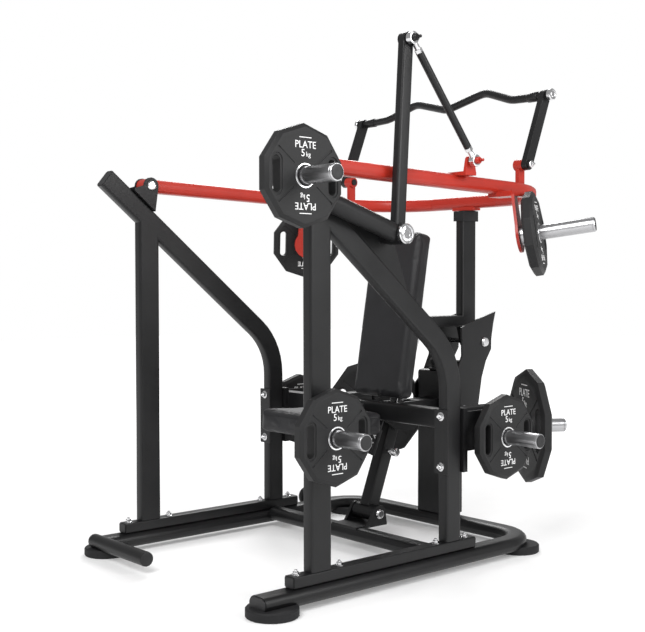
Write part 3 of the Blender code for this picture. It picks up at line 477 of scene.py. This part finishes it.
# ---- weight plates ------------------------------------------------------------------
def plate_body(radius, thick):
    """Ten-sided plate about +X with chamfered rims and a shallow step round each face."""
    turns = [math.radians(90 + 360 / PLATE_SIDES * k) for k in range(PLATE_SIDES)]
    steps = ((STEP, 0.30), (STEP, 0.80), (0.0, 0.83), (0.0, 0.925), (thick * 0.2, 1.0),
             (thick * 0.8, 1.0), (thick, 0.925), (thick, 0.83), (thick - STEP, 0.80), (thick - STEP, 0.30))
    bm = bmesh.new()
    rows = [[bm.verts.new((x, radius * s * math.cos(t), radius * s * math.sin(t))) for t in turns]
            for x, s in steps]
    return skin(bm, rows)


def grip_hole(radius, way, x0, x1, grow=0.0):
    """Long hand hole from x0 to x1; grow widens it for the shallow pocket round it."""
    far, near, half = radius * 0.78, radius * 0.60, radius * 0.26
    centre, bend = (far + near) / 2, (far - near) / 2 + grow
    turns = [math.radians(180 * k / 10) for k in range(11)]
    outline = [(centre + bend * math.cos(t), half + bend * math.sin(t)) for t in turns]
    outline += [(centre - bend * math.cos(t), -half - bend * math.sin(t)) for t in turns]
    return extruded([(way * y, z) for y, z in outline], (x0, 0, 0), (0, 1, 0), UP, x1 - x0)


def cross_groove(radius, thick, turn, face):
    """Groove across one face of the plate, from near the hub towards the rim."""
    x0 = thick - GROOVE_DEPTH if face > 0 else -0.004
    direction = Vector((0, math.cos(turn), math.sin(turn)))
    side = Vector((0, -math.sin(turn), math.cos(turn)))
    start = Vector((x0, 0, 0)) + direction * radius * 0.34
    width, length = radius * 0.018, radius * 0.50
    outline = [(0, -width), (length, -width), (length, width), (0, width)]
    return extruded(outline, start, direction, side, GROOVE_DEPTH + 0.004)


def merged(name, solids):
    """One helper object from several solids that don't meet."""
    whole = bmesh.new()
    for bm in solids:
        bmesh.ops.recalc_face_normals(bm, faces=bm.faces)
        part = mesh_from("part", bm)
        whole.from_mesh(part)
        bpy.data.meshes.remove(part)
    return linked(name, mesh_from(name, whole))


def plate_mesh(name, radius, thick):
    """Rubber of a plate: the bore, hand holes and grooves cut out, then the hand holes' pockets."""
    out = 0.01
    body = merged(name, [plate_body(radius, thick)])
    cuts = [grip_hole(radius, way, -out, thick + out) for way in (1, -1)]
    cuts.append(turned((-out, 0, 0), LEFT, ((0.0, PLATE_BORE_R), (thick + 2 * out, PLATE_BORE_R)), 48))
    cuts += [cross_groove(radius, thick, math.radians(turn), face)
             for turn in (38, 142, 218, 322) for face in (1, -1)]
    pockets = []
    for way in (1, -1):
        pockets.append(grip_hole(radius, way, thick - POCKET_DEPTH, thick + out, POCKET_RIM))
        pockets.append(grip_hole(radius, way, -out, POCKET_DEPTH, POCKET_RIM))
    tools = [merged(name + "_tool", cuts), merged(name + "_funnel", pockets)]
    for tool in tools:
        cut = body.modifiers.new("cut", "BOOLEAN")
        cut.solver = "EXACT"
        cut.object = tool
    soften(body, 0.0011)
    mesh = baked_mesh(body)
    for tool in tools:
        bpy.data.objects.remove(tool)
    mesh.materials.clear()
    mesh.materials.append(LOOKS["plate_rubber"])
    return mesh


def ring_mesh(profile, look):
    """Ring in the hole of a plate."""
    obj = merged("ring", [turned((0, 0, 0), LEFT, profile, 56, True)])
    obj.data.shade_smooth()
    obj.data.set_sharp_from_angle(angle=SHARP_TURN)
    obj.data.materials.append(look)
    return baked_mesh(obj)


def text_mesh(words, size):
    curve = bpy.data.curves.new("words", "FONT")
    curve.body = words
    curve.size = size
    curve.align_x, curve.align_y = "CENTER", "CENTER"
    curve.extrude = PRINT_HALF
    curve.offset = size * 0.004
    curve.resolution_u = 4
    obj = linked("words", curve)
    bpy.context.view_layer.update()
    return baked_mesh(obj)


def bar_mesh(width, height):
    """Plain printed bar in the same plane and depth as the words."""
    outline = pill(width, height, height * 0.4, 3)
    bm = extruded(outline, (0, 0, -PRINT_HALF), LEFT, (0, 1, 0), 2 * PRINT_HALF)
    bmesh.ops.recalc_face_normals(bm, faces=bm.faces)
    return mesh_from("bar", bm)


def marks_mesh(radius, thick):
    """Printed weight and a plain word on both faces, upright at the top and upside down at the bottom."""
    lines = ((text_mesh("PLATE", radius * 0.190), 0.0, 0.580),     # mesh, shift and rise in radii
             (text_mesh("5", radius * 0.20), -0.06, 0.42),
             (text_mesh("kg", radius * 0.13), 0.07, 0.40),
             (bar_mesh(radius * 0.30, radius * 0.016), 0.0, 0.722))
    sunk = 2 * PRINT_HALF
    whole = bmesh.new()
    for face in (1, -1):
        x = thick - sunk if face > 0 else sunk
        turn = Matrix(((0, 0, face), (face, 0, 0), (0, 1, 0))).to_4x4()
        for spin in (0.0, math.pi):
            for mesh, shift, rise in lines:
                part = mesh.copy()
                place = Matrix.Translation((x, 0, 0)) @ turn @ Matrix.Rotation(spin, 4, "Z")
                part.transform(place @ Matrix.Translation((shift * radius, rise * radius, 0)))
                whole.from_mesh(part)
                bpy.data.meshes.remove(part)
    made = mesh_from("marks", whole)
    made.materials.append(WHITE)
    return made


def placed(name, mesh, place, body):
    obj = linked(name, mesh)
    obj.matrix_world = place
    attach(obj, body)
    return obj


def build_plates():
    """Two kinds of plate, set on the eight CAD plates; their meshes are shared."""
    kinds = {}
    for radius in (SMALL_R, LARGE_R):
        rings = [ring_mesh(BUSH, LOOKS["chrome"]), ring_mesh(LINER, DARK_CAP)]
        kinds[radius] = (plate_mesh("plate", radius, PLATE_T), *rings, marks_mesh(radius, PLATE_T))
    for plate in JOINTS:
        if not plate.startswith("plate_"):
            continue
        out = axis_of(plate)
        up = (UP - out * out.z).normalized()
        turn = Matrix((out, up.cross(out), up)).transposed().to_4x4()
        place = Matrix.Translation(middle(plate) - out * PLATE_T / 2) @ turn
        body, bush, liner, marks = kinds[LARGE_R if "large" in plate else SMALL_R]
        shell = placed(plate + "_body", body, place, plate)
        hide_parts(plate)
        placed(plate + "_bush", bush, place, plate)
        placed(plate + "_liner", liner, place, plate)
        placed(plate + "_marks", marks, place, plate)


# ---- cushions -----------------------------------------------------------------------
def build_cushion(name, body, widen, corner, front):
    """Padded form of a CAD cushion: remeshed, blown up by the cloth solver, with a seam round its side.

    widen scales it across the machine, so that it meets its outline after the remeshing; corner is
    the radius of its outline's corners; front is where it faces.
    """
    mesh = NODES[name].data.copy()
    mesh.materials.clear()
    centre = middle(name)
    spot = Matrix.Translation(centre)
    mesh.transform(spot @ Matrix.Diagonal((widen, 0.985, 0.985, 1.0)) @ spot.inverted())
    drop_custom_normals(mesh)
    obj = linked(name + "_cushion", mesh)
    weld_points(obj)
    remesh = obj.modifiers.new("remesh", "REMESH")
    remesh.mode = "VOXEL"
    remesh.voxel_size = CUSHION_VOXEL
    bake_in_place(obj)
    front = Vector(front).normalized()
    round_corners(obj, centre, front, corner)
    blow_up(obj)
    relax = obj.modifiers.new("relax", "SMOOTH")
    relax.factor = 0.5
    relax.iterations = 3
    finer = obj.modifiers.new("finer", "SUBSURF")
    finer.levels = finer.render_levels = 1
    bake_in_place(obj)
    obj.data.materials.clear()
    obj.data.materials.append(LOOKS["vinyl"])
    obj.data.shade_smooth()
    add_seam(obj, name, body, front)
    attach(obj, body)
    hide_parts(name)


def round_corners(obj, centre, front, radius):
    """Pull the four corners of the cushion's outline in to an arc."""
    up = front.cross(LEFT)
    wide = max((v.co - centre).dot(LEFT) for v in obj.data.vertices) - radius
    tall = max((v.co - centre).dot(up) for v in obj.data.vertices) - radius
    for vertex in obj.data.vertices:
        u, v = (vertex.co - centre).dot(LEFT), (vertex.co - centre).dot(up)
        over_u, over_v = abs(u) - wide, abs(v) - tall
        far = math.hypot(over_u, over_v)
        if over_u > 0 and over_v > 0 and far > radius:
            pull = 1 - radius / far
            vertex.co -= LEFT * math.copysign(over_u * pull, u) + up * math.copysign(over_v * pull, v)


def blow_up(obj):
    """Inflate by cloth pressure; no point moves further than CUSHION_RISE."""
    rest = [v.co.copy() for v in obj.data.vertices]
    cloth = obj.modifiers.new("cloth", "CLOTH")
    cloth.settings.quality = 4
    cloth.settings.mass = 0.4
    cloth.settings.tension_stiffness = 30
    cloth.settings.compression_stiffness = 30
    cloth.settings.use_pressure = True
    cloth.settings.uniform_pressure_force = 4.0
    cloth.settings.effector_weights.gravity = 0.0
    cloth.point_cache.frame_end = CUSHION_FRAMES
    scene = bpy.context.scene
    for frame in range(1, CUSHION_FRAMES + 1):
        scene.frame_set(frame)
    bake_in_place(obj)
    scene.frame_set(1)
    for vertex, start in zip(obj.data.vertices, rest):
        step = vertex.co - start
        if step.length > CUSHION_RISE:
            vertex.co = start + step.normalized() * CUSHION_RISE


def add_seam(obj, name, body, front):
    """Sewn seam that runs round the cushion's side, a little behind its face."""
    vertices, faces = obj.data.vertices, obj.data.polygons
    tree = BVHTree.FromPolygons([v.co for v in vertices], [f.vertices for f in faces])
    up = front.cross(LEFT)
    centre = middle(name)
    spans = [[(v.co - centre).dot(d) for v in vertices] for d in (LEFT, up, front)]
    wide, tall, deep = (max(s) - min(s) for s in spans)
    level = max(spans[2]) - deep * 0.24
    outline = pill(wide + 0.004, tall + 0.004, 0.030, 10)
    dense = []
    for one, two in zip(outline, outline[1:] + outline[:1]):
        parts = max(1, int(math.dist(one, two) / SEAM_STEP))
        dense += [(one[0] + (two[0] - one[0]) * k / parts, one[1] + (two[1] - one[1]) * k / parts)
                  for k in range(parts)]
    shift_u, shift_v = ((max(s) + min(s)) / 2 for s in spans[:2])
    points = [tree.find_nearest(centre + LEFT * (u + shift_u) + up * (v + shift_v) + front * level)[0]
              for u, v in dense]
    piece(name + "_seam", tube_through(points, SEAM_R, 8, True), THREAD, body)


# ---- moving details -----------------------------------------------------------------
def build_handle_bar():
    """Smooth cambered grip bar with collars beside its links."""
    swing, top = at(0, *LINK_LOW), at(0, *LINK_TOP)
    rise = (top - swing).normalized()
    camber = ((0.486, 0.0), (0.400, 0.0), (0.325, 0.003), (0.195, 0.050), (0.165, 0.050), (0.0, 0.004))
    corners = [top + Vector((x, 0, 0)) + rise * lift for x, lift in camber]
    corners += [Vector((-p.x, p.y, p.z)) for p in reversed(corners[:-1])]
    bar = tube_through(eased(corners, 0.022), 0.0150, 32)
    grip = piece("grip_bar", bar, "black_paint", "handle")
    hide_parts("handle_bar")
    collar = ((0.0, 0.0140), (0.0, 0.0168), (0.0012, 0.0176), (0.0448, 0.0176), (0.046, 0.0168),
              (0.046, 0.0140))
    for side, sign in HANDS:
        start = top + Vector((sign * 0.452, 0, 0))
        piece("bar_collar_" + side, turned(start, (-sign, 0, 0), collar, 36, True), "black_paint", "handle")


def eased(corners, reach, steps=6):
    """The same run of points with each inner corner rounded over reach on either side."""
    points = [corners[0]]
    for before, corner, after in zip(corners, corners[1:], corners[2:]):
        reach_in = min(reach, (before - corner).length * 0.45)
        reach_out = min(reach, (after - corner).length * 0.45)
        start = corner + (before - corner).normalized() * reach_in
        end = corner + (after - corner).normalized() * reach_out
        for k in range(steps + 1):
            t = k / steps
            points.append(start * (1 - t) ** 2 + corner * 2 * t * (1 - t) + end * t ** 2)
    points.append(corners[-1])
    return points


def build_rod_details():
    """Smooth counter rod with bright rod ends, and a stud at each end."""
    high, low = at(*ROD_TOP), at(*ROD_LOW)
    along = (low - high).normalized()
    length = (low - high).length
    shaft = ((0.050, 0.0105), (0.052, 0.0125), (length - 0.052, 0.0125), (length - 0.050, 0.0105))
    body = piece("rod_shaft", turned(high, along, shaft, 36), "black_paint", "link_rod")
    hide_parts("link_rod")
    ball = ((-0.0075, 0.0084), (-0.0075, 0.0105), (-0.0045, 0.0130), (0.0045, 0.0130),
            (0.0085, 0.0110), (0.0085, 0.0084))
    race = ((-0.0088, 0.0125), (-0.0088, 0.0180), (-0.0076, 0.0198), (0.0098, 0.0198),
            (0.0110, 0.0180), (0.0110, 0.0125))
    neck = ((0.0185, 0.0110), (0.024, 0.0090), (0.040, 0.0090), (0.040, 0.0120))
    nut = ((0.0, 0.0132), (0.012, 0.0132))
    for name, spot, way in (("top", high, along), ("low", low, -along)):
        piece("rod_ball_" + name, turned(spot, LEFT, ball, 32, True), "steel_sleeve", "link_rod")
        piece("rod_eye_" + name, turned(spot, LEFT, race, 36, True), "chrome", "link_rod")
        piece("rod_neck_" + name, turned(spot, way, neck, 28), "chrome", "link_rod")
        piece("rod_nut_" + name, turned(spot + way * 0.040, way, nut, 6), "chrome", "link_rod", 0.0006)
    stud = ((0.0, 0.0115), (0.010, 0.0115), (0.013, 0.0090), (0.013, 0.0050), (0.026, 0.0050),
            (0.028, 0.0035))
    for name, spot, paint, holder in (("top", high, "black_paint", "crank"),
                                      ("low", low, "red_paint", "link_rod")):
        start = spot + Vector((0.0115, 0, 0))
        piece("rod_stud_" + name, turned(start, LEFT, stud, 24), paint, holder)


def build_gas_spring():
    """Thin damper beside the back strut."""
    start, end = at(0.040, 0.640, 0.330), at(0.046, 0.700, 0.480)
    axis = (end - start).normalized()
    length = (end - start).length
    barrel = ((0.0, 0.006), (0.002, 0.0085), (length * 0.6, 0.0085), (length * 0.6 + 0.002, 0.0070),
              (length * 0.6 + 0.002, 0.0035), (length, 0.0035))
    piece("damper_barrel", turned(start, axis, barrel, 28), DARK_CAP, "strut")


# ---- stage --------------------------------------------------------------------------
def area_light(name, place, height, size, power):
    """Rectangular lamp, turned to a point above the origin."""
    data = bpy.data.lights.new(name, "AREA")
    data.shape = "RECTANGLE"
    data.size, data.size_y = size
    data.energy = power
    obj = linked(name, data)
    obj.location = place
    aim = UP * height - Vector(place)
    obj.rotation_mode = "QUATERNION"
    obj.rotation_quaternion = aim.to_track_quat("-Z", "Y")


def build_world():
    """White surroundings that look brighter than they light."""
    world = bpy.data.worlds.new("studio")
    world.use_nodes = True
    tree = world.node_tree
    lit, seen = tree.nodes["Background"], tree.nodes.new("ShaderNodeBackground")
    for node, strength in ((lit, SKY_LIGHT), (seen, SKY_SEEN)):
        node.inputs["Color"].default_value = (1.0, 1.0, 1.0, 1.0)
        node.inputs["Strength"].default_value = strength
    path = tree.nodes.new("ShaderNodeLightPath")
    mix = tree.nodes.new("ShaderNodeMixShader")
    tree.links.new(path.outputs["Is Camera Ray"], mix.inputs["Fac"])
    tree.links.new(lit.outputs["Background"], mix.inputs[1])
    tree.links.new(seen.outputs["Background"], mix.inputs[2])
    tree.links.new(mix.outputs["Shader"], tree.nodes["World Output"].inputs["Surface"])
    bpy.context.scene.world = world


def floor_finish():
    """Pale floor that glows with painted light: dim near the machine, as a painted soft shade round it, and
    growing with distance, so that it fades into the surroundings.
    """
    look = surface("pale_floor", (0.78, 0.78, 0.78), 0.62, spread=0.01)
    nodes, links = look.node_tree.nodes, look.node_tree.links
    shader = nodes["Principled BSDF"]
    shader.inputs["Emission Color"].default_value = (1.0, 1.0, 1.0, 1.0)
    place, reach, fade = (nodes.new(kind) for kind in (
        "ShaderNodeTexCoord", "ShaderNodeVectorMath", "ShaderNodeMapRange"))
    reach.operation = "LENGTH"
    fade.interpolation_type = "SMOOTHSTEP"
    for socket, value in zip(("From Min", "From Max", "To Min", "To Max"), FLOOR_FADE):
        fade.inputs[socket].default_value = value
    links.new(place.outputs["Object"], reach.inputs[0])
    links.new(reach.outputs["Value"], fade.inputs["Value"])
    # painted light: the floor's glow is dimmer near the machine, as painted shade, and brighter far off
    links.new(fade.outputs["Result"], shader.inputs["Emission Strength"])
    return look


def build_stage():
    build_world()
    bpy.context.scene.view_settings.view_transform = "Standard"
    bm = bmesh.new()
    bmesh.ops.create_grid(bm, x_segments=1, y_segments=1, size=FLOOR_HALF)
    mesh = mesh_from("floor", bm)
    mesh.materials.append(floor_finish())
    floor = linked("floor", mesh)
    floor.location.z = -FLOOR_DROP
    for lamp in LAMPS:
        area_light(*lamp)


def build_camera():
    """The photograph's camera, solved from points of the frame."""
    data = bpy.data.cameras.new("camera")
    data.sensor_width = 36.0
    data.lens = 61.1
    cam = linked("camera", data)
    turn, tip, roll = math.radians(49.18), math.radians(1.77), math.radians(-0.08)
    cam.location = at(2.960, -2.124, 0.968)
    aim = Vector((-math.sin(turn) * math.cos(tip), math.cos(turn) * math.cos(tip), -math.sin(tip)))
    level = aim.to_track_quat("-Z", "Y")
    cam.rotation_mode = "QUATERNION"
    cam.rotation_quaternion = level @ Matrix.Rotation(roll, 3, "Z").to_quaternion()
    bpy.context.scene.camera = cam


def main():
    build_camera()
    build_stage()
    dress_cad()
    build_plates()
    build_horns()
    frame_bolts()
    cap_rings()
    end_caps()
    transport_wheel()
    build_handle_bar()
    build_rod_details()
    build_gas_spring()
    build_cushion("seat_pad", "root", 1.0, 0.028, (0, 0.052, 0.9986))
    lean = math.radians(9.8)
    build_cushion("back_pad", "backrest", 1.07, 0.040, (0, -math.cos(lean), math.sin(lean)))


main()
